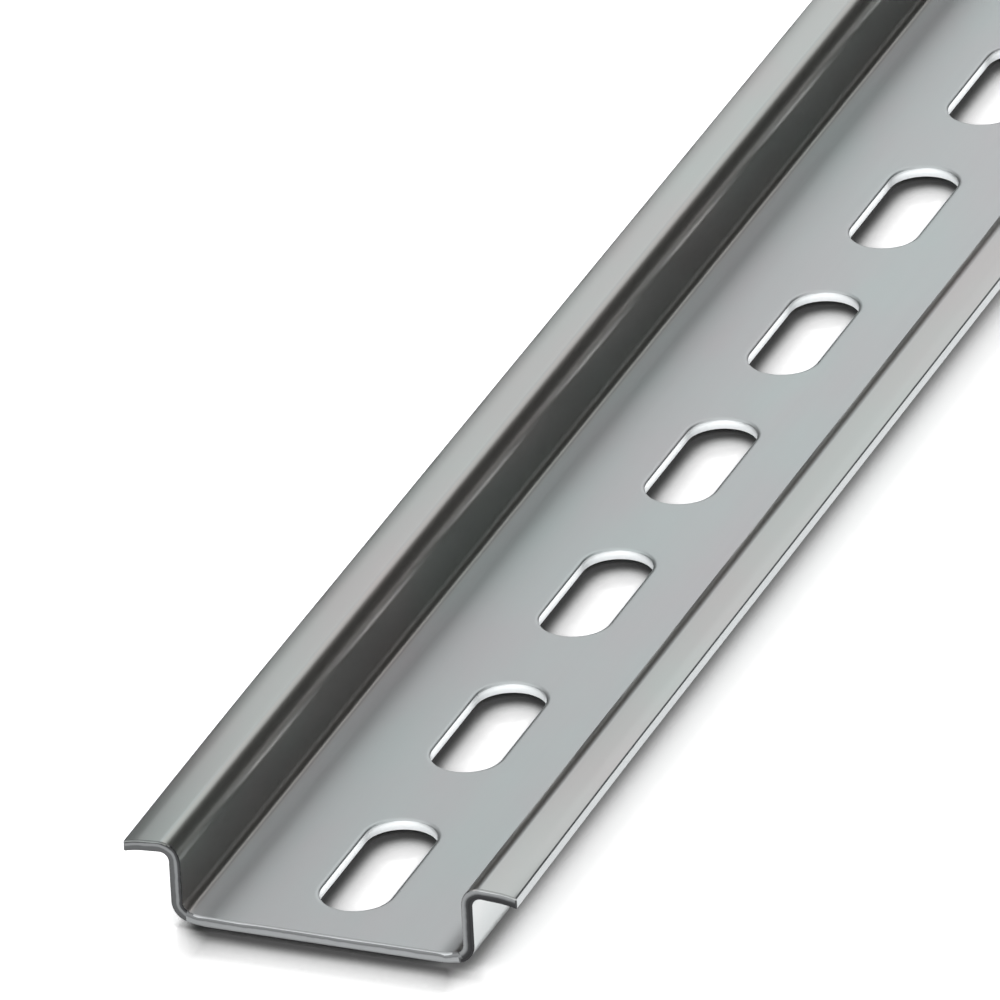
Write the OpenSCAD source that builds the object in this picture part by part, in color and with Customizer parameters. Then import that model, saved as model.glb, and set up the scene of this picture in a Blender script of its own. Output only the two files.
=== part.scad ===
// Slotted top-hat mounting rail, cold-rolled from one zinc-plated steel strip.
// It lies on its back: X is across the rail, Y runs along it and Z is up.
// The origin is in the middle of its length and width, on the plane that it lies on.

/* [Section] */
// Width over the two flanges
rail_w = 35; // [33:0.5:40]
// Width of the channel over the outer faces of its walls
hat_w = 27; // [24:0.5:28]
// Height from the back of the base to the top of the flanges
rail_h = 7.5; // [6:0.5:15]
// Thickness of the strip
sheet_t = 1; // [0.8:0.1:1.5]
// Inside radius of the four bends
bend_r = 0.8; // [0.4:0.1:1.2]
// Rounding left on the strip's two edges by the slitting knives
edge_r = 0.2; // [0.1:0.05:0.35]

/* [Length] */
// Length that the rail is cut to
rail_l = 500; // [200:25:2000]

/* [Slots] */
// Width of a slot, and the diameter of its round ends
slot_w = 6.2; // [4:0.1:8]
// Length of a slot from end to end
slot_l = 16; // [12:0.5:20]
// Distance from the centre of a slot to the centre of the next
slot_pitch = 25; // [22:0.5:40]
// Least length of solid base between the last slot and the cut end
end_web = 4; // [2:0.5:10]
// Rounding of a slot's upper rim, where the punch drew the metal down
rim_r = 0.15; // [0.05:0.05:0.3]

/* [Hidden] */

steel_colour = [0.67, 0.69, 0.69];

// Segments of a full circle: slot ends and bends, and the small edge roundings
round_fn = 40;
edge_fn = 16;

// Overlap of a cutting shape past the face that it cuts
cut_over = 0.5;

// Outer radius of a bend, and the heights at which the upright walls start and end
bend_outer_r = bend_r + sheet_t;
wall_low_z = bend_outer_r;
wall_top_z = rail_h - bend_outer_r;

// The base is flat between its two bends, and each flange from its bend to the edge
base_flat_w = hat_w - 2 * bend_outer_r;
flange_flat_x = hat_w / 2 + bend_r;
flange_flat_w = rail_w / 2 - flange_flat_x;

// The slots fill the rail from the middle, and stop before the cut ends
slot_count = floor((rail_l - slot_l - 2 * end_web) / slot_pitch) + 1;
slot_first_y = -(slot_count - 1) / 2 * slot_pitch;
slot_straight = slot_l - slot_w;

// A quarter of a bend, open towards the corner that sign_x and sign_y point away from
module bend_quarter(sign_x, sign_y) {
    intersection() {
        difference() {
            circle(r = bend_outer_r, $fn = round_fn);
            circle(r = bend_r, $fn = round_fn);
        }
        translate([sign_x > 0 ? 0 : -bend_outer_r, sign_y > 0 ? 0 : -bend_outer_r])
            square(bend_outer_r);
    }
}

// The flat of a flange, with the two corners of the strip's edge rounded
module flange_flat() {
    square([flange_flat_w - edge_r, sheet_t]);
    translate([0, edge_r])
        square([flange_flat_w, sheet_t - 2 * edge_r]);
    for (corner_y = [edge_r, sheet_t - edge_r])
        translate([flange_flat_w - edge_r, corner_y])
            circle(r = edge_r, $fn = edge_fn);
}

// The bent side of the section from the base's flat to the edge of the flange
module section_side() {
    translate([base_flat_w / 2, bend_outer_r])
        bend_quarter(1, -1);
    translate([hat_w / 2 - sheet_t, wall_low_z])
        square([sheet_t, wall_top_z - wall_low_z]);
    translate([flange_flat_x, wall_top_z])
        bend_quarter(-1, 1);
    translate([flange_flat_x, rail_h - sheet_t])
        flange_flat();
}

// The whole section of the strip, across the rail
module section() {
    translate([-base_flat_w / 2, 0])
        square([base_flat_w, sheet_t]);
    section_side();
    mirror([1, 0])
        section_side();
}

// Outline of a slot with full round ends, along Y
module slot_outline() {
    square([slot_w, slot_straight], center = true);
    for (end_y = [-slot_straight / 2, slot_straight / 2])
        translate([0, end_y])
            circle(d = slot_w, $fn = round_fn);
}

// What the rounded rim takes off outside the slot's wall: a square less a quarter circle
module rim_profile() {
    difference() {
        translate([slot_w / 2 - cut_over, -rim_r])
            square([cut_over + rim_r, rim_r + cut_over]);
        translate([slot_w / 2 + rim_r, -rim_r])
            circle(r = rim_r, $fn = edge_fn);
    }
}

// One punched slot with its rounded upper rim, its origin on the top face of the base
module slot_cut() {
    translate([0, 0, -sheet_t - cut_over])
        linear_extrude(height = sheet_t + 2 * cut_over)
            slot_outline();
    for (turn = [0, 180])
        rotate([0, 0, turn]) {
            translate([0, slot_straight / 2, 0])
                rotate_extrude(angle = 180, $fn = round_fn)
                    rim_profile();
            rotate([90, 0, 0])
                linear_extrude(height = slot_straight, center = true)
                    rim_profile();
        }
}

// The rail: the section drawn out to its length, with the row of slots punched through
module rail() {
    color(steel_colour)
        difference() {
            rotate([90, 0, 0])
                linear_extrude(height = rail_l, center = true)
                    section();
            for (i = [0 : slot_count - 1])
                translate([0, slot_first_y + i * slot_pitch, sheet_t])
                    slot_cut();
        }
}

rail();
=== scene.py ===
# %% [markdown]
# # A slotted mounting rail, dressed for a studio photograph
#
# The rail is one strip of zinc-plated steel, 1 mm thick, that rollers have bent
# to a top-hat section. A row of slots is punched through its base. The CAD model
# gives its true size and section. This lesson builds the same rail again as a
# clean mesh with the small marks of its making, gives it a zinc finish, and
# lights it as a catalogue photograph would.

# %% Load the CAD model
import math

import bmesh
import bpy
from mathutils import Matrix, Vector


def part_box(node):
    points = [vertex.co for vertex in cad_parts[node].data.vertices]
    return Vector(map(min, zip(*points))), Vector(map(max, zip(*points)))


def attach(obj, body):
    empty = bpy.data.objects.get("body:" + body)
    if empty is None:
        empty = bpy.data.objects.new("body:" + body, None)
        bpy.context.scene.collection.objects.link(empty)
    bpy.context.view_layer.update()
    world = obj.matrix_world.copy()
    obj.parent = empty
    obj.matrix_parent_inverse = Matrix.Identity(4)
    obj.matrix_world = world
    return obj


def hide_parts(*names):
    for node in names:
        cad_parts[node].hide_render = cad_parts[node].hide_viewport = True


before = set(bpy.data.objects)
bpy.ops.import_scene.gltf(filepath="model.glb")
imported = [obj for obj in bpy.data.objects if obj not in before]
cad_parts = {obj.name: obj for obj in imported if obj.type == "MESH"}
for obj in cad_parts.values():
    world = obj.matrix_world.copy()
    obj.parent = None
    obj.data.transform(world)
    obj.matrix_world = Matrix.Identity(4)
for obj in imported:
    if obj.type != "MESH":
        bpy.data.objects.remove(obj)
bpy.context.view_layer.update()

MM = 0.001
rail_low, rail_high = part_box("rail")
RAIL_L = rail_high[1] - rail_low[1]
RAIL_W = rail_high[0] - rail_low[0]
RAIL_H = rail_high[2] - rail_low[2]
print("rail", [round(size / MM, 3) for size in (RAIL_W, RAIL_L, RAIL_H)], "mm")

# %% [markdown]
# ## Camera
#
# The photograph was taken from a good distance with a long lens, from the front
# right and above, so parallel edges stay nearly parallel. The angles here were
# worked out by fitting the rail's known section and six of its slots to the
# photograph. The camera is placed from the point that it looks at, so each
# number can be read by itself.

# %% Camera
CAMERA_AZIMUTH = math.radians(22.86)
CAMERA_ELEVATION = math.radians(27.72)
CAMERA_ROLL = math.radians(-3.05)
CAMERA_DISTANCE = 1747.1 * MM
# The lens in millimetres, over a sensor 36 mm wide, and how far the camera sees, in metres
CAMERA_LENS = 732.9
CAMERA_FAR = 50.0
AIM = Vector((-14.03 * MM, rail_low[1] + 75.84 * MM, 1.0 * MM))


def camera_turn(azimuth, elevation, roll):
    """The camera's axes as a matrix: right, up and back."""
    ahead = Vector((math.sin(azimuth), -math.cos(azimuth), 0.0))
    back = ahead * math.cos(elevation) + Vector((0.0, 0.0, math.sin(elevation)))
    level = Vector((math.cos(azimuth), math.sin(azimuth), 0.0))
    upright = back.cross(level)
    right = level * math.cos(roll) + upright * math.sin(roll)
    return Matrix((right, back.cross(right), back)).transposed()


turn = camera_turn(CAMERA_AZIMUTH, CAMERA_ELEVATION, CAMERA_ROLL)
camera_data = bpy.data.cameras.new("camera")
camera_data.lens = CAMERA_LENS
camera_data.clip_end = CAMERA_FAR
camera = bpy.data.objects.new("camera", camera_data)
camera.matrix_world = Matrix.Translation(AIM + turn.col[2] * CAMERA_DISTANCE) @ turn.to_4x4()
bpy.context.collection.objects.link(camera)
bpy.context.scene.camera = camera
print("camera at", [round(c, 3) for c in camera.matrix_world.translation])

# %% [markdown]
# ## Section of the strip
#
# The section could be a curve that is swept along the rail, but the faces round
# the slots have to meet it point for point. So it is drawn as two lines that run
# side by side, one along the upper face of the strip and one along its back,
# with the same number of points. A pair of points is then always square across
# the strip, so the two faces and the cut end can all be filled with plain quads.
# The bends are arcs about common centres. Rollers don't fold a strip at a sharp
# line: the base begins to rise a little before the bend, and the flange's edge
# hangs a little. Both are a fifth of a millimetre or less, but a metal face shows
# them as a lighter or a darker line. Only the right half is worked out, and the
# left is its mirror.

# %% Sizes of the section
# The strip's thickness, the width over the walls, and the radius inside a bend and on an edge
SHEET_T = 1.0 * MM
HAT_W = 27.0 * MM
BEND_R = 0.8 * MM
EDGE_R = 0.15 * MM
# How far the flange's edge hangs and the base rises, and over what width
EDGE_DROP = 0.09 * MM
EDGE_DROP_W = 1.3 * MM
DROP_STEPS = 4
RISE = 0.2 * MM
RISE_W = 1.8 * MM
RISE_STEPS = 5
BEND_STEPS = 8
EDGE_STEPS = 3

bend_x = HAT_W / 2 - SHEET_T - BEND_R
rise_angle = math.atan(2 * RISE / RISE_W)
bend_low_z = SHEET_T + RISE + BEND_R * math.cos(rise_angle)
bend_high_z = RAIL_H - SHEET_T - BEND_R
flange_x = HAT_W / 2 + BEND_R
print("from the middle: bend at", round(bend_x / MM, 2), "mm, flange at", round(flange_x / MM, 2), "mm")

# %% Sizes of a slot
SLOT_W = 6.2 * MM
SLOT_L = 16.0 * MM
PITCH = 25.0 * MM
ARC_STEPS = 24
SIDE_STEPS = 4
# Places within this of a line are on it, and lengths in metres are rounded to this many decimals
SLACK = 0.01 * MM
DECIMALS = 9

slot_count = round(RAIL_L / PITCH)
arc_y = (SLOT_L - SLOT_W) / 2
# The slot's mesh fans out to a frame whose corners lie at 45 degrees from the round ends
frame_x = PITCH / 2 - arc_y


def arc(centre_x, centre_z, radius, start, end, steps):
    """Points of an arc in the section's plane, angles in degrees."""
    turns = [math.radians(start + (end - start) * i / steps) for i in range(steps + 1)]
    return [(centre_x + radius * math.cos(a), centre_z + radius * math.sin(a)) for a in turns]


def fan_angles():
    """Angles of the slot's round end, from its right side to its left."""
    return [math.pi * i / ARC_STEPS for i in range(ARC_STEPS + 1)]


def half_section():
    """Pairs of points across the strip, from the slot's frame to the flange's edge."""
    upper = [(frame_x, SHEET_T), ((frame_x + bend_x) / 2, SHEET_T)]
    lower = [(x, 0.0) for x, _ in upper]
    outer_r = BEND_R + SHEET_T
    rise_end = bend_x + BEND_R * math.sin(rise_angle)
    for i in range(RISE_STEPS):
        share = i / RISE_STEPS
        x = rise_end - RISE_W * (1 - share)
        z = SHEET_T + RISE * share**2
        tilt = math.atan(2 * RISE / RISE_W * share)
        upper.append((x, z))
        lower.append((x + SHEET_T * math.sin(tilt), z - SHEET_T * math.cos(tilt)))
    bend_start = math.degrees(rise_angle) - 90
    upper += arc(bend_x, bend_low_z, BEND_R, bend_start, 0, BEND_STEPS)
    lower += arc(bend_x, bend_low_z, outer_r, bend_start, 0, BEND_STEPS)
    upper += arc(flange_x, bend_high_z, outer_r, 180, 90, BEND_STEPS)
    lower += arc(flange_x, bend_high_z, BEND_R, 180, 90, BEND_STEPS)
    for i in range(DROP_STEPS + 1):
        x = RAIL_W / 2 - EDGE_R - EDGE_DROP_W * (1 - i / DROP_STEPS)
        drop = EDGE_DROP * (i / DROP_STEPS) ** 2
        upper.append((x, RAIL_H - drop))
        lower.append((x, RAIL_H - SHEET_T - drop))
    return upper, lower


def edge_round(inset=0.0):
    """The rounded edge of the flange, drawn in by inset, from its upper face to its underside."""
    edge_x = RAIL_W / 2 - EDGE_R
    radius = EDGE_R - inset
    top = arc(edge_x, RAIL_H - EDGE_DROP - EDGE_R, radius, 90, 0, EDGE_STEPS)
    bottom = arc(edge_x, RAIL_H - EDGE_DROP - SHEET_T + EDGE_R, radius, 0, -90, EDGE_STEPS)
    return top[1:] + bottom[:-1]


upper_side, lower_side = half_section()
print("section:", len(upper_side), "pairs a side, strip", round(SHEET_T / MM, 2), "mm")

# %% [markdown]
# ## One pitch of the rail
#
# The rail repeats every 25 mm, so only one pitch is meshed, and a row of them
# makes the rail. A Boolean modifier could cut the slots out of a plain strip,
# but it leaves long thin faces round each hole, and on metal they show as streaks
# in the sheen. Here the faces round a slot lie in rings that grow from its
# outline to a square frame, and the bent sides are strips that use the
# same stations along the rail, so every point meets its neighbour. The punch
# leaves three marks on a slot: the upper rim is drawn down in a soft roll, the
# wall below it is burnished straight, and the last third breaks away and opens a
# little wider. They are real geometry here, because the rim catches the light.

# %% Sizes of the punched slot
ROLL_W = 0.4 * MM
ROLL_H = 0.15 * MM
ROLL_STEPS = 6
BREAK_Z = 0.38 * MM
BREAK_W = 0.05 * MM
# Where the break-out bulges, as shares of its width and height
BREAK_BULGE = (0.7, 0.55)
# The rings between the slot and its frame, as shares of the way
RING_SHARES = (0.0, 0.3, 0.6, 1.0)

# %% A mesh in the making
# What the material is told: where bare steel shows, how deep a point of the cut lies below the upper
# face, how much the rollers rubbed it and how far the cut tore
FACE_MARKS = ("cut_end", "slot_wall", "slit_edge")
POINT_MARKS = ("through", "rolled", "torn")
# How much the flanges are rubbed beside the walls, and the back beside the upper face
FLANGE_RUBBED = 0.4
BACK_RUBBED = 0.7
SAME_PLACE = 0.0005 * MM


def rolled_share(point):
    """How much the rollers rub a point: the bends and walls fully, the flanges less, the base not."""
    across = abs(point[0])
    if across > flange_x - SLACK:
        return FLANGE_RUBBED
    return 1.0 if across > bend_x + SLACK else 0.0


class Shell:
    """A mesh in the making: points that fall together are one vertex."""

    def __init__(self):
        self.mesh = bmesh.new()
        self.found = {}
        self.point_marks = {name: self.mesh.verts.layers.float.new(name) for name in POINT_MARKS}
        self.face_marks = {name: self.mesh.faces.layers.float.new(name) for name in FACE_MARKS}

    def vertex(self, point, through=0.0, torn=0.0, rubbed=1.0):
        """The vertex at a point, made with its marks where there is none yet."""
        key = tuple(round(c / SAME_PLACE) for c in point)
        if key not in self.found:
            self.found[key] = self.mesh.verts.new(point)
            marks = {"through": through, "rolled": rolled_share(point) * rubbed, "torn": torn}
            for name, value in marks.items():
                self.found[key][self.point_marks[name]] = value
        return self.found[key]

    def face(self, vertices, mark=None):
        """A smooth face, unless so many of its corners fall together that none is left."""
        corners = [v for i, v in enumerate(vertices) if v is not vertices[i - 1]]
        if len(corners) < 3:
            return
        face = self.mesh.faces.new(corners)
        face.smooth = True
        if mark:
            face[self.face_marks[mark]] = 1.0

    def skin(self, rows, closed=False, mark=None):
        """Quads between rows of vertices; a closed row's end meets its start."""
        for row, beside in zip(rows, rows[1:]):
            count = len(row)
            for i in range(count if closed else count - 1):
                j = (i + 1) % count
                self.face([row[i], row[j], beside[j], beside[i]], mark)

    def object(self, name):
        """The finished mesh as an object, its faces turned outwards."""
        bmesh.ops.recalc_face_normals(self.mesh, faces=self.mesh.faces)
        data = bpy.data.meshes.new(name)
        self.mesh.to_mesh(data)
        self.mesh.free()
        return bpy.data.objects.new(name, data)


print("marks:", ", ".join(FACE_MARKS + POINT_MARKS))

# %% Rings round the slot
def slot_ring(offset, z):
    """The slot's outline, grown by offset, as a closed row of points."""
    radius = SLOT_W / 2 + offset
    sides = [(radius, -arc_y + 2 * arc_y * i / SIDE_STEPS) for i in range(SIDE_STEPS)]
    ends = [(radius * math.cos(a), arc_y + radius * math.sin(a)) for a in fan_angles()[:-1]]
    half = sides + ends
    return [(x, y, z) for x, y in half] + [(-x, -y, z) for x, y in half]


def frame_ring(z):
    """The square frame round the slot, point for point with the slot's outline."""
    points = []
    for x, y, _ in slot_ring(0.0, z):
        reach = max(0.0, abs(y) - arc_y)
        grow = frame_x / max(abs(x), reach)
        points.append((x * grow, math.copysign(arc_y + reach * grow, y) if reach else y, z))
    return points


def blend_ring(near, far, share):
    """A ring at a share of the way from one ring to another."""
    return [tuple(a + (b - a) * share for a, b in zip(p, q)) for p, q in zip(near, far)]


print("a ring:", len(slot_ring(0.0, 0.0)), "points")

# %% Mesh of one pitch
def rim_profile():
    """The slot's rolled rim and its wall down to the back, as pairs of offset and height."""
    turns = [math.pi / 2 * i / ROLL_STEPS for i in range(ROLL_STEPS + 1)]
    roll = [(ROLL_W * (1 - math.sin(a)), SHEET_T - ROLL_H * (1 - math.cos(a))) for a in turns]
    bulge = (BREAK_W * BREAK_BULGE[0], BREAK_Z * BREAK_BULGE[1])
    return roll, [(0.0, SHEET_T - ROLL_H), (0.0, BREAK_Z), bulge, (BREAK_W, 0.0)]


def pitch_cell():
    """One pitch of the rail with its slot, open towards its neighbours."""
    shell = Shell()
    roll, wall = rim_profile()

    def row(points, rubbed=1.0):
        return [shell.vertex(p, rubbed=rubbed) for p in points]

    shell.skin([row(slot_ring(offset, z)) for offset, z in roll], closed=True)
    shell.skin([row(slot_ring(offset, z)) for offset, z in wall], closed=True, mark="slot_wall")
    for near, z in ((slot_ring(ROLL_W, SHEET_T), SHEET_T), (slot_ring(BREAK_W, 0.0), 0.0)):
        far = frame_ring(z)
        shell.skin([row(blend_ring(near, far, share)) for share in RING_SHARES], closed=True)

    stations = sorted({round(y, DECIMALS) for x, y, _ in frame_ring(0.0) if x > frame_x - SLACK})
    edge = [upper_side[-1]] + edge_round() + [lower_side[-1]]
    chains = ((upper_side, None, 1.0), (edge, "slit_edge", 1.0), (lower_side, None, BACK_RUBBED))
    for side in (1, -1):
        for chain, mark, rubbed in chains:
            shell.skin([row([(side * x, y, z) for x, z in chain], rubbed) for y in stations], mark=mark)
    return shell.object("pitch_cell")


cell = pitch_cell()
print("one pitch:", len(cell.data.vertices), "points,", len(cell.data.polygons), "faces")

# %% [markdown]
# ## The cut end
#
# A shear cuts the rail to length between two slots. It rolls the edge slightly,
# so the end gets a small rounding all round and a flat face across the strip. A
# Bevel modifier could round it evenly, but the blade rounded it more in some
# places than in others, so the rings of the rounding are worked out here. The
# points carry a measure from the strip's upper side to its back, which the
# material uses to tell the smooth band, where the blade cut, from the torn one
# below it. A second measure says how far the steel tore. The blade closes from one
# side to the other, so the base is cut clean and the side that goes last is torn
# rough. The zinc is smeared over the rounded edge of the base and of the flanges'
# tops.

# %% Sizes of the cut end
END_R = 0.13 * MM
END_STEPS = 3
# How far each part of the cut tore, and how much bare steel shows through the zinc smeared on it
TORN_SHARE = {"base": 0.0, "first": 0.5, "last": 1.0}
SMEARED_SHARE = {"base": 0.38, "first": 0.62, "last": 0.45}
# Where the blade rounded the upper edge more: place across in mm, extra share, width in mm
ROUNDER = ((-11.2, 0.8, 0.5), (-7.4, 0.5, 0.7), (2.0, 0.3, 2.0), (10.9, 1.3, 0.4), (14.9, 1.0, 0.6))


def rounder(x):
    """The rounding of the upper edge at a place across the rail, as a share of the plain one."""
    across = x / MM
    swells = [extra * math.exp(-(((across - place) / width) ** 2)) for place, extra, width in ROUNDER]
    return 1.0 + sum(swells)


def inset_pairs(inset):
    """The whole section from left to right, its two faces drawn in by inset."""
    base_xs = sorted({round(x, DECIMALS) for x, y, _ in frame_ring(0.0) if y > PITCH / 2 - SLACK})[1:-1]
    pairs = [((-x, z), (-u, w)) for (x, z), (u, w) in zip(upper_side, lower_side)][::-1]
    pairs += [((x, SHEET_T), (x, 0.0)) for x in base_xs]
    pairs += list(zip(upper_side, lower_side))
    share = inset / SHEET_T
    drawn = []
    for (x, z), (u, w) in pairs:
        step_x, step_z = (u - x) * share, (w - z) * share
        extra = rounder(x)
        drawn.append(((x + step_x * extra, z + step_z * extra), (u - step_x, w - step_z)))
    return drawn


def cut_part(x):
    """Which part of the cut a place across the rail is in: the base, or the side cut first or last."""
    if abs(x) < bend_x + BEND_R / 2:
        return "base"
    return "last" if x > 0 else "first"


def torn_share(x):
    """How far the cut tore at a place across the rail."""
    return TORN_SHARE[cut_part(x)]


print("rounding of the cut:", round(END_R / MM, 2), "mm,", round(rounder(0.0), 2), "of it in the middle")

# %% Mesh of the cut end
def cut_end():
    """The near end of the rail, with its face in the plane y = 0."""
    shell = Shell()

    def outline(inset, y):
        pairs = inset_pairs(inset)
        edge = edge_round(inset)
        upper = [shell.vertex((x, y, z), 0.0, torn_share(x)) for (x, z), _ in pairs]
        lower = [shell.vertex((x, y, z), 1.0, torn_share(x), BACK_RUBBED) for _, (x, z) in pairs]
        depths = [(i + 1) / (len(edge) + 1) for i in range(len(edge))]
        right = [shell.vertex((x, y, z), d, torn_share(x)) for (x, z), d in zip(edge, depths)]
        left = [shell.vertex((-x, y, z), d, torn_share(-x)) for (x, z), d in zip(edge, depths)]
        return upper, right, lower, left

    rings = []
    for i in range(END_STEPS + 1):
        a = math.pi / 2 * i / END_STEPS
        upper, right, lower, left = outline(END_R * (1 - math.cos(a)), END_R * (1 - math.sin(a)))
        rings.append(upper + right + lower[::-1] + left[::-1])
    shell.skin(rings, closed=True, mark="cut_end")

    # The rounded edge of the base and of the flanges' tops keeps some of its zinc
    for face in shell.mesh.faces:
        centre = face.calc_center_median()
        if centre.z > RAIL_H - 2 * END_R or (abs(centre.x) < bend_x and centre.z > SHEET_T / 2):
            face[shell.face_marks["cut_end"]] = SMEARED_SHARE[cut_part(centre.x)]

    # The flat face closes the end
    shell.skin([upper, lower], mark="cut_end")
    shell.face([upper[-1], *right, lower[-1]], "cut_end")
    shell.face([upper[0], *left, lower[0]], "cut_end")
    return shell.object("cut_end")


end_cap = cut_end()
print("cut end:", len(end_cap.data.polygons), "faces")

# %% [markdown]
# ## The finish: zinc over rolled steel
#
# Bright zinc plating is a thin metal coat that follows the steel below it. The
# steel was cold-rolled, so very fine lines run along the strip, and the clear
# passivation over the zinc leaves a faint, cloudy tint between blue-green and
# pink. To the eye that is a satin grey metal: reflections keep their place but
# lose their edges. The rollers that bend the strip rub the bends and walls, and a
# little the flanges, so those are smoother than the base. One flat colour would
# look like plastic, so the tint drifts over a centimetre or so, the roughness
# changes in fine lines along the strip, and the surface has a soft waviness.

# %% Helpers for nodes and colours
def linear(hex_colour):
    """An sRGB hex colour as the linear values that a shader takes, by the curve of the sRGB standard."""
    parts = [int(hex_colour[i : i + 2], 16) / 255 for i in (1, 3, 5)]
    return [p / 12.92 if p <= 0.04045 else ((p + 0.055) / 1.055) ** 2.4 for p in parts] + [1.0]


def add_node(tree, kind, sockets=None, output=None, stops=(), **settings):
    """Adds a node and returns its output. A socket, by name or number, takes a value or a link.

    A colour ramp also takes stops, each a place from 0 to 1 and an sRGB hex colour or a plain share.
    """
    node = tree.nodes.new(kind)
    for name, value in settings.items():
        setattr(node, name, value)
    for i, (place, tone) in enumerate(stops):
        ramp = node.color_ramp.elements
        stop = ramp[i] if i < len(ramp) else ramp.new(1.0)
        stop.position = place
        stop.color = linear(tone) if isinstance(tone, str) else (tone, tone, tone, 1.0)
    for key, value in (sockets or {}).items():
        found = [s for i, s in enumerate(node.inputs) if s.enabled and key in (s.name, i)]
        if isinstance(value, bpy.types.NodeSocket):
            tree.links.new(value, found[0])
        else:
            found[0].default_value = value
    return next((s for s in node.outputs if s.enabled and output in (None, s.name)), None)


def new_tree(name):
    """An empty material and its node tree."""
    material = bpy.data.materials.new(name)
    material.use_nodes = True
    material.node_tree.nodes.clear()
    return material, material.node_tree


# The part of its range that a noise really fills
NOISE_LOW = 0.3
NOISE_HIGH = 0.7


def drift(tree, size, least, most, detail=2.0):
    """A value that wanders between two others over patches of a size in metres."""
    place = add_node(tree, "ShaderNodeTexCoord", output="Object")
    scale = [1 / length for length in size]
    place = add_node(tree, "ShaderNodeMapping", {"Vector": place, "Scale": scale})
    value = add_node(tree, "ShaderNodeTexNoise", {"Vector": place, "Scale": 1.0, "Detail": detail})
    limits = {"From Min": NOISE_LOW, "From Max": NOISE_HIGH, "To Min": least, "To Max": most}
    return add_node(tree, "ShaderNodeMapRange", {"Value": value, **limits})


print("a mid grey in linear light:", [round(c, 3) for c in linear("#808080")])

# %% Colours and measures of the finish
ZINC_COOL = "#c4cdcd"
ZINC_WARM = "#c8c8ca"
# What rubbing leaves of the coat's colour, as pairs of how much a place was rubbed and a tint
WORN_TINTS = ((0.0, "#ffffff"), (FLANGE_RUBBED, "#fffdfa"), (BACK_RUBBED, "#ebeae9"), (1.0, "#f0eae5"))
TORN_STEEL = "#262627"
SHEARED_STEEL = "#848687"
SLIT_STEEL = "#8f9293"
PUNCHED_STEEL = "#e4e7e8"
# How smooth the cut is from the upper face, 0, to the back, 1, as pairs of depth and share
BASE_BANDS = ((0.0, 0.62), (0.16, 0.57), (0.27, 0.44), (0.36, 0.47), (0.46, 0.92), (0.9, 1.0), (1.0, 0.8))
FIRST_BANDS = ((0.0, 0.07), (0.1, 0.15), (0.2, 0.61), (0.42, 0.61), (0.56, 0.25), (1.0, 0.22))
LAST_BANDS = ((0.0, 0.69), (0.2, 0.65), (0.38, 0.36), (0.5, 0.07), (0.85, 0.0), (1.0, 0.04))
# The torn measure from which the bands of the side cut first, and of the side cut last, take over
FIRST_FROM = 0.25
LAST_FROM = 0.75
# Patches across the rail, along it and up. Real rolling lines and grain are much finer, and here
# they are as coarse as they need to be to show
TINT_SIZE = (9.0 * MM, 24.0 * MM, 9.0 * MM)
LINE_SIZE = (0.35 * MM, 20.0 * MM, 0.35 * MM)
GRAIN_SIZE = (0.15 * MM, 0.5 * MM, 0.15 * MM)
WAVE_SIZE = (4.0 * MM, 40.0 * MM, 4.0 * MM)
BURR_SIZE = (0.9 * MM, 0.9 * MM, 0.9 * MM)
BURR_WANDER = 0.05
# Each relief: patch size, height, strength where unrubbed and where fully rubbed, and detail
RELIEFS = ((WAVE_SIZE, 0.012 * MM, 0.4, 0.08, 0.5), (GRAIN_SIZE, 0.0012 * MM, 0.15, 0.02, 2.0))
FLAT_ROUGHNESS = (0.37, 0.395)
ROLLED_ROUGHNESS = (0.29, 0.302)
CUT_ROUGHNESS = 0.5
print("roughness:", FLAT_ROUGHNESS, "on the base,", ROLLED_ROUGHNESS, "where rollers rubbed it")

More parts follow.
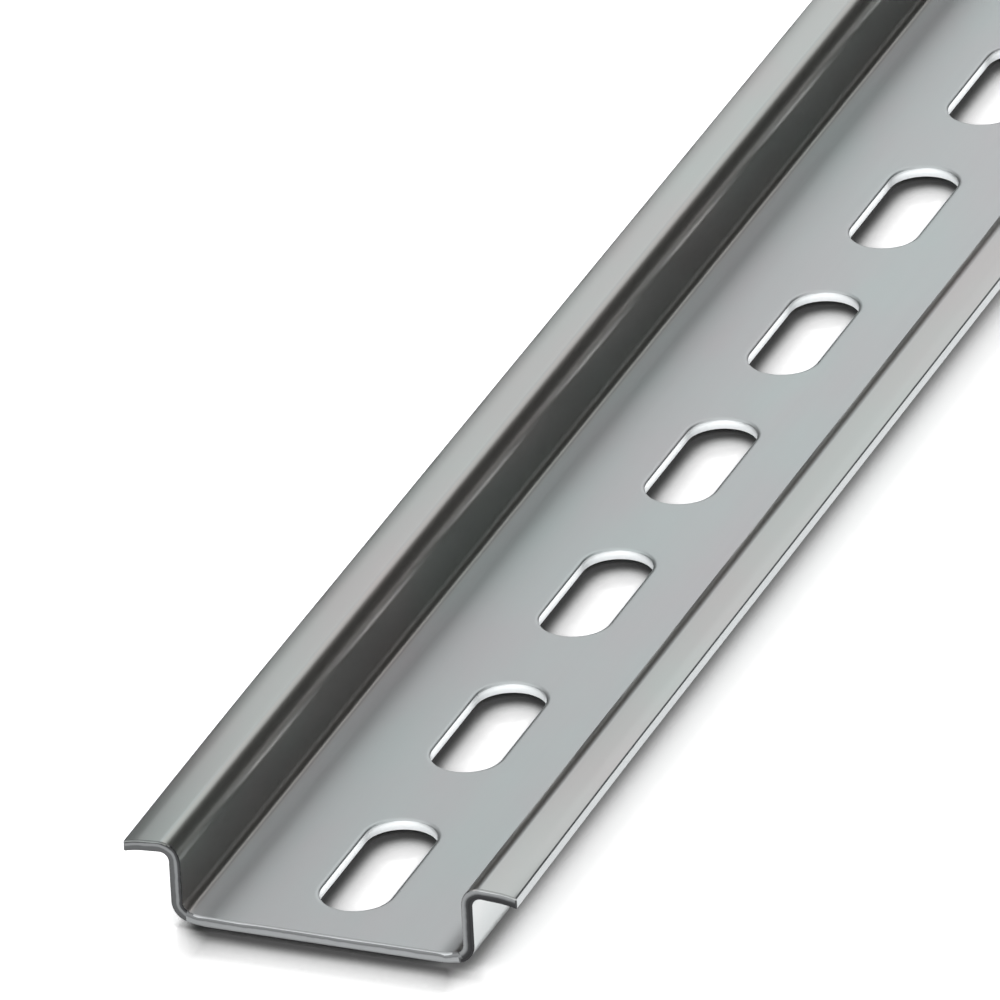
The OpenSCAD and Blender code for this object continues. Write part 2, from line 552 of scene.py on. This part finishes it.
# %% Zinc-plated steel
def zinc_plated_steel():
    """Zinc-plated cold-rolled steel: satin, lined along the strip, faintly tinted."""
    material, tree = new_tree("zinc_plated_steel")
    marks = {
        name: add_node(tree, "ShaderNodeAttribute", output="Fac", attribute_name=name)
        for name in FACE_MARKS + POINT_MARKS
    }

    # The coat's tint
    tint = drift(tree, TINT_SIZE, 0.0, 1.0, detail=3.0)
    sockets = {"Factor": tint, "A": linear(ZINC_COOL), "B": linear(ZINC_WARM)}
    coat = add_node(tree, "ShaderNodeMix", sockets, data_type="RGBA")

    # The rollers rub the coat thinner, and it turns a little darker and warmer
    worn = add_node(tree, "ShaderNodeValToRGB", {"Fac": marks["rolled"]}, stops=WORN_TINTS)
    sockets = {"Factor": 1.0, "A": coat, "B": worn}
    coat = add_node(tree, "ShaderNodeMix", sockets, data_type="RGBA", blend_type="MULTIPLY")

    # The cut lies in bands that wander a little, and the more it tore, the darker it is
    depth = drift(tree, BURR_SIZE, -BURR_WANDER, BURR_WANDER)
    depth = add_node(tree, "ShaderNodeMath", {0: marks["through"], 1: depth}, operation="ADD")
    smooth = add_node(tree, "ShaderNodeValToRGB", {"Fac": depth}, stops=BASE_BANDS)
    for stops, limit in ((FIRST_BANDS, FIRST_FROM), (LAST_BANDS, LAST_FROM)):
        here = add_node(tree, "ShaderNodeMath", {0: marks["torn"], 1: limit}, operation="GREATER_THAN")
        bands = add_node(tree, "ShaderNodeValToRGB", {"Fac": depth}, stops=stops)
        sockets = {"Factor": here, "A": smooth, "B": bands}
        smooth = add_node(tree, "ShaderNodeMix", sockets, data_type="RGBA")

    # The bare steel of the cut end, of the slots' walls and of the slit edges
    shades = {"Factor": smooth, "A": linear(TORN_STEEL), "B": linear(SHEARED_STEEL)}
    cut_steel = add_node(tree, "ShaderNodeMix", shades, data_type="RGBA")
    shades = {"Factor": marks["cut_end"], "A": coat, "B": cut_steel}
    colour = add_node(tree, "ShaderNodeMix", shades, data_type="RGBA")
    for name, shade in (("slot_wall", PUNCHED_STEEL), ("slit_edge", SLIT_STEEL)):
        shades = {"Factor": marks[name], "A": colour, "B": linear(shade)}
        colour = add_node(tree, "ShaderNodeMix", shades, data_type="RGBA")

    # The rollers leave the bends and walls smoother
    flat = drift(tree, LINE_SIZE, *FLAT_ROUGHNESS, detail=3.0)
    rubbed = drift(tree, LINE_SIZE, *ROLLED_ROUGHNESS, detail=3.0)
    coated = add_node(tree, "ShaderNodeMix", {"Factor": marks["rolled"], "A": flat, "B": rubbed})
    sockets = {"Factor": marks["cut_end"], "A": coated, "B": CUT_ROUGHNESS}
    roughness = add_node(tree, "ShaderNodeMix", sockets)

    # Relief from long soft waves down to the grain of the coat
    relief = None
    for size, height, unrubbed, fully_rubbed, detail in RELIEFS:
        limits = {"Value": marks["rolled"], "To Min": unrubbed, "To Max": fully_rubbed}
        strength = add_node(tree, "ShaderNodeMapRange", limits)
        waves = drift(tree, size, 0.0, 1.0, detail=detail)
        sockets = {"Height": waves, "Strength": strength, "Distance": height}
        if relief:
            sockets["Normal"] = relief
        relief = add_node(tree, "ShaderNodeBump", sockets)

    sockets = {"Base Color": colour, "Metallic": 1.0, "Roughness": roughness, "Normal": relief}
    shader = add_node(tree, "ShaderNodeBsdfPrincipled", sockets)
    add_node(tree, "ShaderNodeOutputMaterial", {"Surface": shader})
    return material


zinc = zinc_plated_steel()
print("finish:", len(zinc.node_tree.nodes), "nodes")

# %% [markdown]
# ## A row of pitches
#
# An array modifier could repeat the pitch, but its ends would stay open. Geometry
# Nodes repeat it along a line, draw the last points back by the depth of the end's
# rounding, set a cut end on each side and weld it all to one closed skin. The
# sizes are inputs of the tree, so the same tree makes a rail of any length.

# %% Tree that makes the rail
ROW_INPUTS = {
    "Pitch Cell": ("NodeSocketObject", cell),
    "Cut End": ("NodeSocketObject", end_cap),
    "Count": ("NodeSocketInt", slot_count),
    "Pitch": ("NodeSocketFloat", PITCH),
    "End Rounding": ("NodeSocketFloat", END_R),
    "Finish": ("NodeSocketMaterial", zinc),
}
# Points this close become one
WELD = 0.002 * MM


def row_tree():
    """The tree that makes a rail of any length from one pitch and one cut end."""
    tree = bpy.data.node_groups.new("row_of_pitches", "GeometryNodeTree")
    tree.interface.new_socket("Geometry", in_out="OUTPUT", socket_type="NodeSocketGeometry")
    for name, (kind, _) in ROW_INPUTS.items():
        tree.interface.new_socket(name, in_out="INPUT", socket_type=kind)
    given = tree.nodes.new("NodeGroupInput").outputs

    def along(*steps):
        """A length and its vector along the rail, from steps that each take the last one's result."""
        value = None
        for operation, *terms in steps:
            terms = [value if term is None else term for term in terms]
            value = add_node(tree, "ShaderNodeMath", dict(enumerate(terms)), operation=operation)
        return value, add_node(tree, "ShaderNodeCombineXYZ", {"Y": value})

    # The pitches stand side by side from the near end
    steps = ("SUBTRACT", given["Count"], 1.0), ("MULTIPLY", None, -0.5), ("MULTIPLY", None, given["Pitch"])
    _, start = along(*steps)
    _, step = along(("MULTIPLY", given["Pitch"], 1.0))
    sockets = {"Count": given["Count"], "Start Location": start, "Offset": step}
    points = add_node(tree, "GeometryNodeMeshLine", sockets)
    pitch = add_node(tree, "GeometryNodeObjectInfo", {"Object": given["Pitch Cell"]}, output="Geometry")
    row = add_node(tree, "GeometryNodeInstanceOnPoints", {"Points": points, "Instance": pitch})
    row = add_node(tree, "GeometryNodeRealizeInstances", {"Geometry": row})

    # The outermost points go in by the depth of the rounding
    end_y, end_place = along(("MULTIPLY", given["Count"], 0.5), ("MULTIPLY", None, given["Pitch"]))
    place = add_node(tree, "GeometryNodeInputPosition")
    place_y = add_node(tree, "ShaderNodeSeparateXYZ", {"Vector": place}, output="Y")
    reach = add_node(tree, "ShaderNodeMath", {0: place_y}, operation="ABSOLUTE")
    outermost = add_node(tree, "ShaderNodeMath", {0: reach, 1: end_y, 2: WELD}, operation="COMPARE")
    steps = ("SIGN", place_y), ("MULTIPLY", None, -1.0), ("MULTIPLY", None, given["End Rounding"])
    _, inwards = along(*steps)
    sockets = {"Geometry": row, "Selection": outermost, "Offset": inwards}
    row = add_node(tree, "GeometryNodeSetPosition", sockets)

    # One cut end on each side, the far one turned round
    cut = add_node(tree, "GeometryNodeObjectInfo", {"Object": given["Cut End"]}, output="Geometry")
    _, near_place = along(("MULTIPLY", end_y, -1.0))
    near = add_node(tree, "GeometryNodeTransform", {"Geometry": cut, "Translation": near_place})
    turned = {"Geometry": cut, "Translation": end_place, "Rotation": (0.0, 0.0, math.pi)}
    far = add_node(tree, "GeometryNodeTransform", turned)
    joined = tree.nodes.new("GeometryNodeJoinGeometry")
    for part in (row, near, far):
        tree.links.new(part, joined.inputs[0])
    sockets = {"Geometry": joined.outputs[0], "Distance": WELD}
    welded = add_node(tree, "GeometryNodeMergeByDistance", sockets)
    solid = add_node(tree, "GeometryNodeRealizeInstances", {"Geometry": welded})
    finished = add_node(tree, "GeometryNodeSetMaterial", {"Geometry": solid, "Material": given["Finish"]})
    add_node(tree, "NodeGroupOutput", {"Geometry": finished})
    return tree


# %% The rail as one plain mesh
def settle(piece, modifier):
    """Keeps what a modifier makes as the piece's own plain mesh."""
    evaluated = piece.evaluated_get(bpy.context.evaluated_depsgraph_get())
    mesh = bpy.data.meshes.new_from_object(evaluated)
    piece.modifiers.remove(modifier)
    piece.data = mesh


def grow_rail():
    """Runs the tree on an empty mesh and keeps the result as a plain closed mesh."""
    holder = bpy.data.objects.new("rail_skin", bpy.data.meshes.new("rail_skin"))
    bpy.context.collection.objects.link(holder)
    tree = row_tree()
    modifier = holder.modifiers.new("row", "NODES")
    modifier.node_group = tree
    for item in tree.interface.items_tree:
        if item.in_out == "INPUT":
            modifier[item.identifier] = ROW_INPUTS[item.name][1]
    settle(holder, modifier)
    return holder


def close_skin(piece):
    """Turns every face outwards and returns the count of open edges and the volume inside."""
    work = bmesh.new()
    work.from_mesh(piece.data)
    bmesh.ops.recalc_face_normals(work, faces=work.faces)
    loose = [e for e in work.edges if len(e.link_faces) != 2]
    held = work.calc_volume(signed=True)
    work.to_mesh(piece.data)
    work.free()
    return len(loose), held


rail = grow_rail()
open_edges, volume = close_skin(rail)
for source in (cell, end_cap):
    bpy.data.objects.remove(source)
triangles = sum(len(p.vertices) - 2 for p in rail.data.polygons)
print("rail skin:", triangles, "triangles,", open_edges, "open edges,", round(volume / MM**3, 1), "mm3")

# %% [markdown]
# ## The mark of the shear
#
# The blade that cuts the rail presses the tips of the flanges down a little. The
# drop is small, but the flange mirrors the studio, and a slope of a few degrees
# shows as a darker outer half beside the cut. A lattice could bend the tips. One
# short rule for the points does it as well, and the rest of the rail stays as it was.

# %% Flange tips pressed down
TIP_DROP = 0.3 * MM
TIP_REACH = 30.0 * MM
TIP_CURVE = 1.5

for vertex in rail.data.vertices:
    outward = max(0.0, abs(vertex.co.x) - flange_x) / (RAIL_W / 2 - flange_x)
    nearness = max(0.0, 1 - (RAIL_L / 2 - abs(vertex.co.y)) / TIP_REACH)
    vertex.co.z -= TIP_DROP * (outward * nearness) ** TIP_CURVE
print("flange tips pressed down by", round(TIP_DROP / MM, 2), "mm")

# %% [markdown]
# ## Smooth where it bends, flat where it is flat
#
# The whole skin is shaded smooth. A plain smooth normal would bend the light on
# the long flat faces beside each bend, so the Weighted Normal modifier lets the
# large face win at every shared point.

# %% Shading normals
SHARP_ANGLE = math.radians(50)
LARGEST_FACE_ONLY = 100

rail.data.set_sharp_from_angle(angle=SHARP_ANGLE)
weigh = rail.modifiers.new("weigh", "WEIGHTED_NORMAL")
weigh.mode = "FACE_AREA"
weigh.weight = LARGEST_FACE_ONLY
weigh.keep_sharp = True
settle(rail, weigh)
print("shading:", "custom normals" if rail.data.has_custom_normals else "no custom normals")

# The rail doesn't move, has one material and stands for the CAD model's rail
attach(rail, "root")
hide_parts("rail")

# %% [markdown]
# ## Floor
#
# The photograph is a catalogue one: the rail lies on a white table that is lit
# brightly enough to lose its own tone, and only the dark line under the rail is
# left of its shadow. The floor here is plain white paint. To the camera and in
# the metal it looks brighter than to the light that bounces from it, so it turns
# white without more light on the rail. A table that bright would also fill in the
# dark line, so the line is put into the paint's tone as a painted shadow. An
# Ambient Occlusion node measures how open a place on the floor is within a few
# millimetres, and a ramp turns that into the tone of the painted shadow. It leans
# towards the main light, so the side of the rail that faces the light stays
# cleaner. One ramp doesn't fit the whole line, though: left of the rail the floor
# counts as more open, the right side has a ramp of its own, and in front of the
# cut end the painted shadow is darker. The metal mirrors a simpler painted
# shadow. The measure is slow, so it is taken only beside the rail and only for
# rays that show the floor. A rolled rail is never quite straight: it rests on a
# few points, and the floor lies half a millimetre lower.

# %% Floor
FLOOR_TONE = 0.85
FLOOR_SEEN_TONE = 2.2
FLOOR_SIZE = 6.0
FLOOR_GAP = 0.5 * MM
print("paint:", FLOOR_TONE, "as a light, and", FLOOR_SEEN_TONE, "where it is seen")

# %% Measures of the painted shadow under the rail
CONTACT_REACH = 4.5 * MM
CONTACT_SAMPLES = 16
CONTACT_LEAN = (-0.42, 0.3, 0.86)
# Half the width of the band of floor in which the measure is taken
CONTACT_ZONE = RAIL_W / 2 + CONTACT_REACH
# How bright the paint looks with its painted shadow, as pairs of how open the place is and share of the
# full tone
PAINTED_SHADOW_TONES = (
    (0.0, 0.2),
    (0.2, 0.13),
    (0.36, 0.07),
    (0.48, 0.07),
    (0.54, 0.1),
    (0.6, 0.16),
    (0.66, 0.245),
    (0.73, 0.355),
    (0.78, 0.44),
    (0.82, 0.475),
    (0.87, 0.5),
    (0.92, 0.55),
    (0.96, 0.67),
    (1.0, 1.0),
)
# The same painted shadow to the right of the rail, where the rail's own cast shadow lies too
RIGHT_PAINTED_SHADOW_TONES = (
    (0.0, 0.06),
    (0.12, 0.06),
    (0.17, 0.09),
    (0.25, 0.19),
    (0.3, 0.29),
    (0.36, 0.38),
    (0.42, 0.47),
    (0.47, 0.55),
    (0.55, 0.65),
    (0.6, 0.69),
    (0.82, 0.73),
    (0.9, 0.78),
    (1.0, 1.0),
)
# Where each side begins and where it is fully reached, and how much more open the left one counts, so that
# its painted shadow is lighter
LEFT_SIDE = (-10.0 * MM, -14.0 * MM)
RIGHT_SIDE = (10.0 * MM, 14.0 * MM)
LEFT_OPEN = 0.34
# The way from just behind the cut end to a little ahead of it, and what is taken from the openness
# there to paint the shadow darker, as pairs of a share of the way and an amount
FRONT_BEHIND = 1.0 * MM
FRONT_AHEAD = 9.0 * MM
FRONT_PAINTED_SHADOW = ((0.0, 0.0), (0.13, 0.11), (0.2, 0.15), (0.35, 0.19), (0.45, 0.2), (0.55, 0.17), (0.8, 0.0))
# How far out an amount of 1 would push the start of the right side
FRONT_SHIFT = 10.0 * MM
# In the metal, which mirrors the painted shadow too: how open the floor is where it is darkest and
# where it is plain, how much more open the right side counts, and the darkest share
MIRRORED_FROM = 0.2
MIRRORED_TO = 0.4
MIRRORED_RIGHT = -0.18
MIRRORED_DARK = 0.08
print("dark line: within", round(CONTACT_ZONE / MM, 1), "mm of the rail's middle")

# %% The painted shadow under the rail
def painted_contact_shadow(tree, path, place_x, place_y):
    """How much of the paint's tone the painted shadow beside the narrow gap under the rail leaves, for the
    camera and in the metal.
    """
    lean = add_node(tree, "ShaderNodeCombineXYZ", dict(enumerate(CONTACT_LEAN)))
    sockets = {"Distance": CONTACT_REACH, "Normal": lean}
    open_sky = add_node(tree, "ShaderNodeAmbientOcclusion", sockets, output="AO", samples=CONTACT_SAMPLES)

    # How much the cut end deepens the painted shadow, and how far a place lies to the left or the right
    limits = {"From Min": rail_low[1] + FRONT_BEHIND, "From Max": rail_low[1] - FRONT_AHEAD}
    ahead = add_node(tree, "ShaderNodeMapRange", {"Value": place_y, **limits})
    front = add_node(tree, "ShaderNodeValToRGB", {"Fac": ahead}, stops=FRONT_PAINTED_SHADOW)
    sockets = {0: front, 1: -FRONT_SHIFT, 2: place_x}
    right_x = add_node(tree, "ShaderNodeMath", sockets, operation="MULTIPLY_ADD")
    left, right = [
        add_node(tree, "ShaderNodeMapRange", {"Value": place, "From Min": inner, "From Max": outer})
        for place, (inner, outer) in ((place_x, LEFT_SIDE), (right_x, RIGHT_SIDE))
    ]

    # The painted shadow that the camera sees
    shaded = add_node(tree, "ShaderNodeMath", {0: open_sky, 1: front}, operation="SUBTRACT")
    sockets = {0: left, 1: LEFT_OPEN, 2: shaded}
    openness = add_node(tree, "ShaderNodeMath", sockets, operation="MULTIPLY_ADD")
    tones = [
        add_node(tree, "ShaderNodeValToRGB", {"Fac": value}, stops=stops)
        for value, stops in ((openness, PAINTED_SHADOW_TONES), (shaded, RIGHT_PAINTED_SHADOW_TONES))
    ]
    sockets = {"Factor": right, "A": tones[0], "B": tones[1]}
    seen_painted_shadow = add_node(tree, "ShaderNodeMix", sockets, data_type="RGBA")

    # The painted shadow that the metal mirrors
    sockets = {0: right, 1: MIRRORED_RIGHT, 2: open_sky}
    openness = add_node(tree, "ShaderNodeMath", sockets, operation="MULTIPLY_ADD")
    limits = {"From Min": MIRRORED_FROM, "From Max": MIRRORED_TO, "To Min": MIRRORED_DARK}
    mirrored_painted_shadow = add_node(tree, "ShaderNodeMapRange", {"Value": openness, **limits})
    return add_node(tree, "ShaderNodeMix", {"Factor": path["Is Camera Ray"], "A": mirrored_painted_shadow, "B": seen_painted_shadow})


# %% The floor and its paint
def seen_rays(tree):
    """1 for the rays that show a background: camera, glossy and transmission rays."""
    path = tree.nodes.new("ShaderNodeLightPath").outputs
    seen = path["Is Camera Ray"]
    for name in ("Is Glossy Ray", "Is Transmission Ray"):
        seen = add_node(tree, "ShaderNodeMath", {0: seen, 1: path[name]}, operation="MAXIMUM")
    # A ray that has already left the floor is part of its light, and shows nothing
    first = add_node(tree, "ShaderNodeMath", {0: path["Diffuse Depth"], 1: 0.5}, operation="LESS_THAN")
    return add_node(tree, "ShaderNodeMath", {0: seen, 1: first}, operation="MULTIPLY")


def white_paint():
    """Matt white paint, even and without grain, so that the eye sees only the dark line on it, which is a
    painted shadow.
    """
    material, tree = new_tree("white_paint")
    limits = {"Value": seen_rays(tree), "To Min": FLOOR_TONE, "To Max": FLOOR_SEEN_TONE}
    tone = add_node(tree, "ShaderNodeMapRange", limits)
    path = tree.nodes.new("ShaderNodeLightPath").outputs
    place = add_node(tree, "ShaderNodeTexCoord", output="Object")
    place_x = add_node(tree, "ShaderNodeSeparateXYZ", {"Vector": place}, output="X")
    place_y = add_node(tree, "ShaderNodeSeparateXYZ", {"Vector": place}, output="Y")
    across = add_node(tree, "ShaderNodeMath", {0: place_x}, operation="ABSOLUTE")
    share = painted_contact_shadow(tree, path, place_x, place_y)
    # The paint's tone darkened by the painted shadow
    painted_shadow_tone = add_node(tree, "ShaderNodeMath", {0: tone, 1: share}, operation="MULTIPLY")

    # Only rays that show the floor, and only near the rail, ask how open it is and get the painted shadow
    near = add_node(tree, "ShaderNodeMath", {0: across, 1: CONTACT_ZONE}, operation="LESS_THAN")
    sockets = {0: path["Is Camera Ray"], 1: path["Is Glossy Ray"]}
    showing = add_node(tree, "ShaderNodeMath", sockets, operation="MAXIMUM")
    asked = add_node(tree, "ShaderNodeMath", {0: near, 1: showing}, operation="MULTIPLY")
    plain = add_node(tree, "ShaderNodeBsdfDiffuse", {"Color": tone})
    shaded = add_node(tree, "ShaderNodeBsdfDiffuse", {"Color": painted_shadow_tone})
    paint = add_node(tree, "ShaderNodeMixShader", {"Fac": asked, 1: plain, 2: shaded})
    add_node(tree, "ShaderNodeOutputMaterial", {"Surface": paint})
    return material


def stage_mesh(name, points, faces):
    """A thing that belongs to the studio and not to the rail."""
    mesh = bpy.data.meshes.new(name)
    mesh.from_pydata(points, [], faces)
    thing = bpy.data.objects.new(name, mesh)
    bpy.context.collection.objects.link(thing)
    return thing


corner_signs = ((-1, -1), (1, -1), (1, 1), (-1, 1))
corners = [(x * FLOOR_SIZE / 2, y * FLOOR_SIZE / 2, -FLOOR_GAP) for x, y in corner_signs]
floor = stage_mesh("floor", corners, [(0, 1, 2, 3)])
floor.data.materials.append(white_paint())
print("floor:", FLOOR_SIZE, "m wide,", round(FLOOR_GAP / MM, 2), "mm under the rail")

# %% [markdown]
# ## Light
#
# Metal shows what stands round it more than the lamps that light it. A picture of
# a studio, wrapped round the scene, could give that, but a plain card can be moved
# by a degree until its edge falls where it should. The world is white in
# reflections, and two dark cards stand behind the rail, one to its right and one
# to its left. The gap between them is the pale strip that the flat faces mirror,
# and the cards make the bends and the left wall dark. Only reflections see the
# cards. The floor is lit by a plain even sky and two softboxes.

# %% World
SKY_LIGHT = 0.6


def soft_world():
    """White where a ray shows the background, and a plain even light for the rest."""
    world = bpy.data.worlds.new("soft_world")
    world.use_nodes = True
    tree = world.node_tree
    tree.nodes.clear()
    limits = {"Value": seen_rays(tree), "To Min": SKY_LIGHT, "To Max": 1.0}
    strength = add_node(tree, "ShaderNodeMapRange", limits)
    glow = add_node(tree, "ShaderNodeBackground", {"Color": linear("#ffffff"), "Strength": strength})
    add_node(tree, "ShaderNodeOutputWorld", {"Surface": glow})
    bpy.context.scene.world = world


soft_world()
print("sky light:", SKY_LIGHT)

# %% Softboxes
SOFTBOX_DISTANCE = 1.8
# Azimuth and elevation in degrees, size in metres, power in watts
SOFTBOXES = {"softbox_left": (-40, 52, 1.2, 12.0), "softbox_right": (100, 14, 0.6, 34.0)}


def around(azimuth, elevation, distance):
    """A place round the rail: azimuth 0 is beyond its far end, and 90 is to its right."""
    a, e = math.radians(azimuth), math.radians(elevation)
    return Vector((math.sin(a) * math.cos(e), math.cos(a) * math.cos(e), math.sin(e))) * distance


def add_softbox(name, place, size, power):
    """A square lamp that faces the rail and isn't mirrored in it."""
    lamp = bpy.data.lights.new(name, "AREA")
    lamp.shape = "SQUARE"
    lamp.size = size
    lamp.energy = power
    softbox = bpy.data.objects.new(name, lamp)
    softbox.location = place
    softbox.rotation_euler = (-place).to_track_quat("-Z", "Y").to_euler()
    softbox.visible_glossy = False
    bpy.context.collection.objects.link(softbox)


for name, (azimuth, elevation, size, power) in SOFTBOXES.items():
    add_softbox(name, around(azimuth, elevation, SOFTBOX_DISTANCE), size, power)
print("softboxes:", ", ".join(SOFTBOXES))

# %% Dark cards
CARD_DISTANCE = 2.0
CARD_STEPS = 12
# Azimuths and elevations that a card hangs between, in degrees, and how bright it is
CARDS = {
    "dark_card_right": ((4.7, 63), (3.3, 64), 0.025),
    "dark_card_left": ((-115, -29.8), (2.8, 40.7), 0.01),
}


def add_card(name, azimuths, elevations, strength):
    """A dark curved card that only reflections see."""

    def between(limits, i):
        return limits[0] + (limits[1] - limits[0]) * i / CARD_STEPS

    row = CARD_STEPS + 1
    points = [
        around(between(azimuths, i), between(elevations, j), CARD_DISTANCE)
        for j in range(row)
        for i in range(row)
    ]
    faces = [
        (j * row + i, j * row + i + 1, (j + 1) * row + i + 1, (j + 1) * row + i)
        for j in range(CARD_STEPS)
        for i in range(CARD_STEPS)
    ]
    card = stage_mesh(name, points, faces)
    card.visible_camera = False
    card.visible_diffuse = False
    card.visible_shadow = False
    material, tree = new_tree(name)
    glow = add_node(tree, "ShaderNodeEmission", {"Color": linear("#ffffff"), "Strength": strength})
    add_node(tree, "ShaderNodeOutputMaterial", {"Surface": glow})
    card.data.materials.append(material)


for name, placed in CARDS.items():
    add_card(name, *placed)
print("cards:", ", ".join(CARDS))

# %% [markdown]
# ## View
#
# The Standard view shows each tone as it was worked out, where a film-like view
# would turn the white table grey.

# %% View transform
bpy.context.scene.view_settings.view_transform = "Standard"
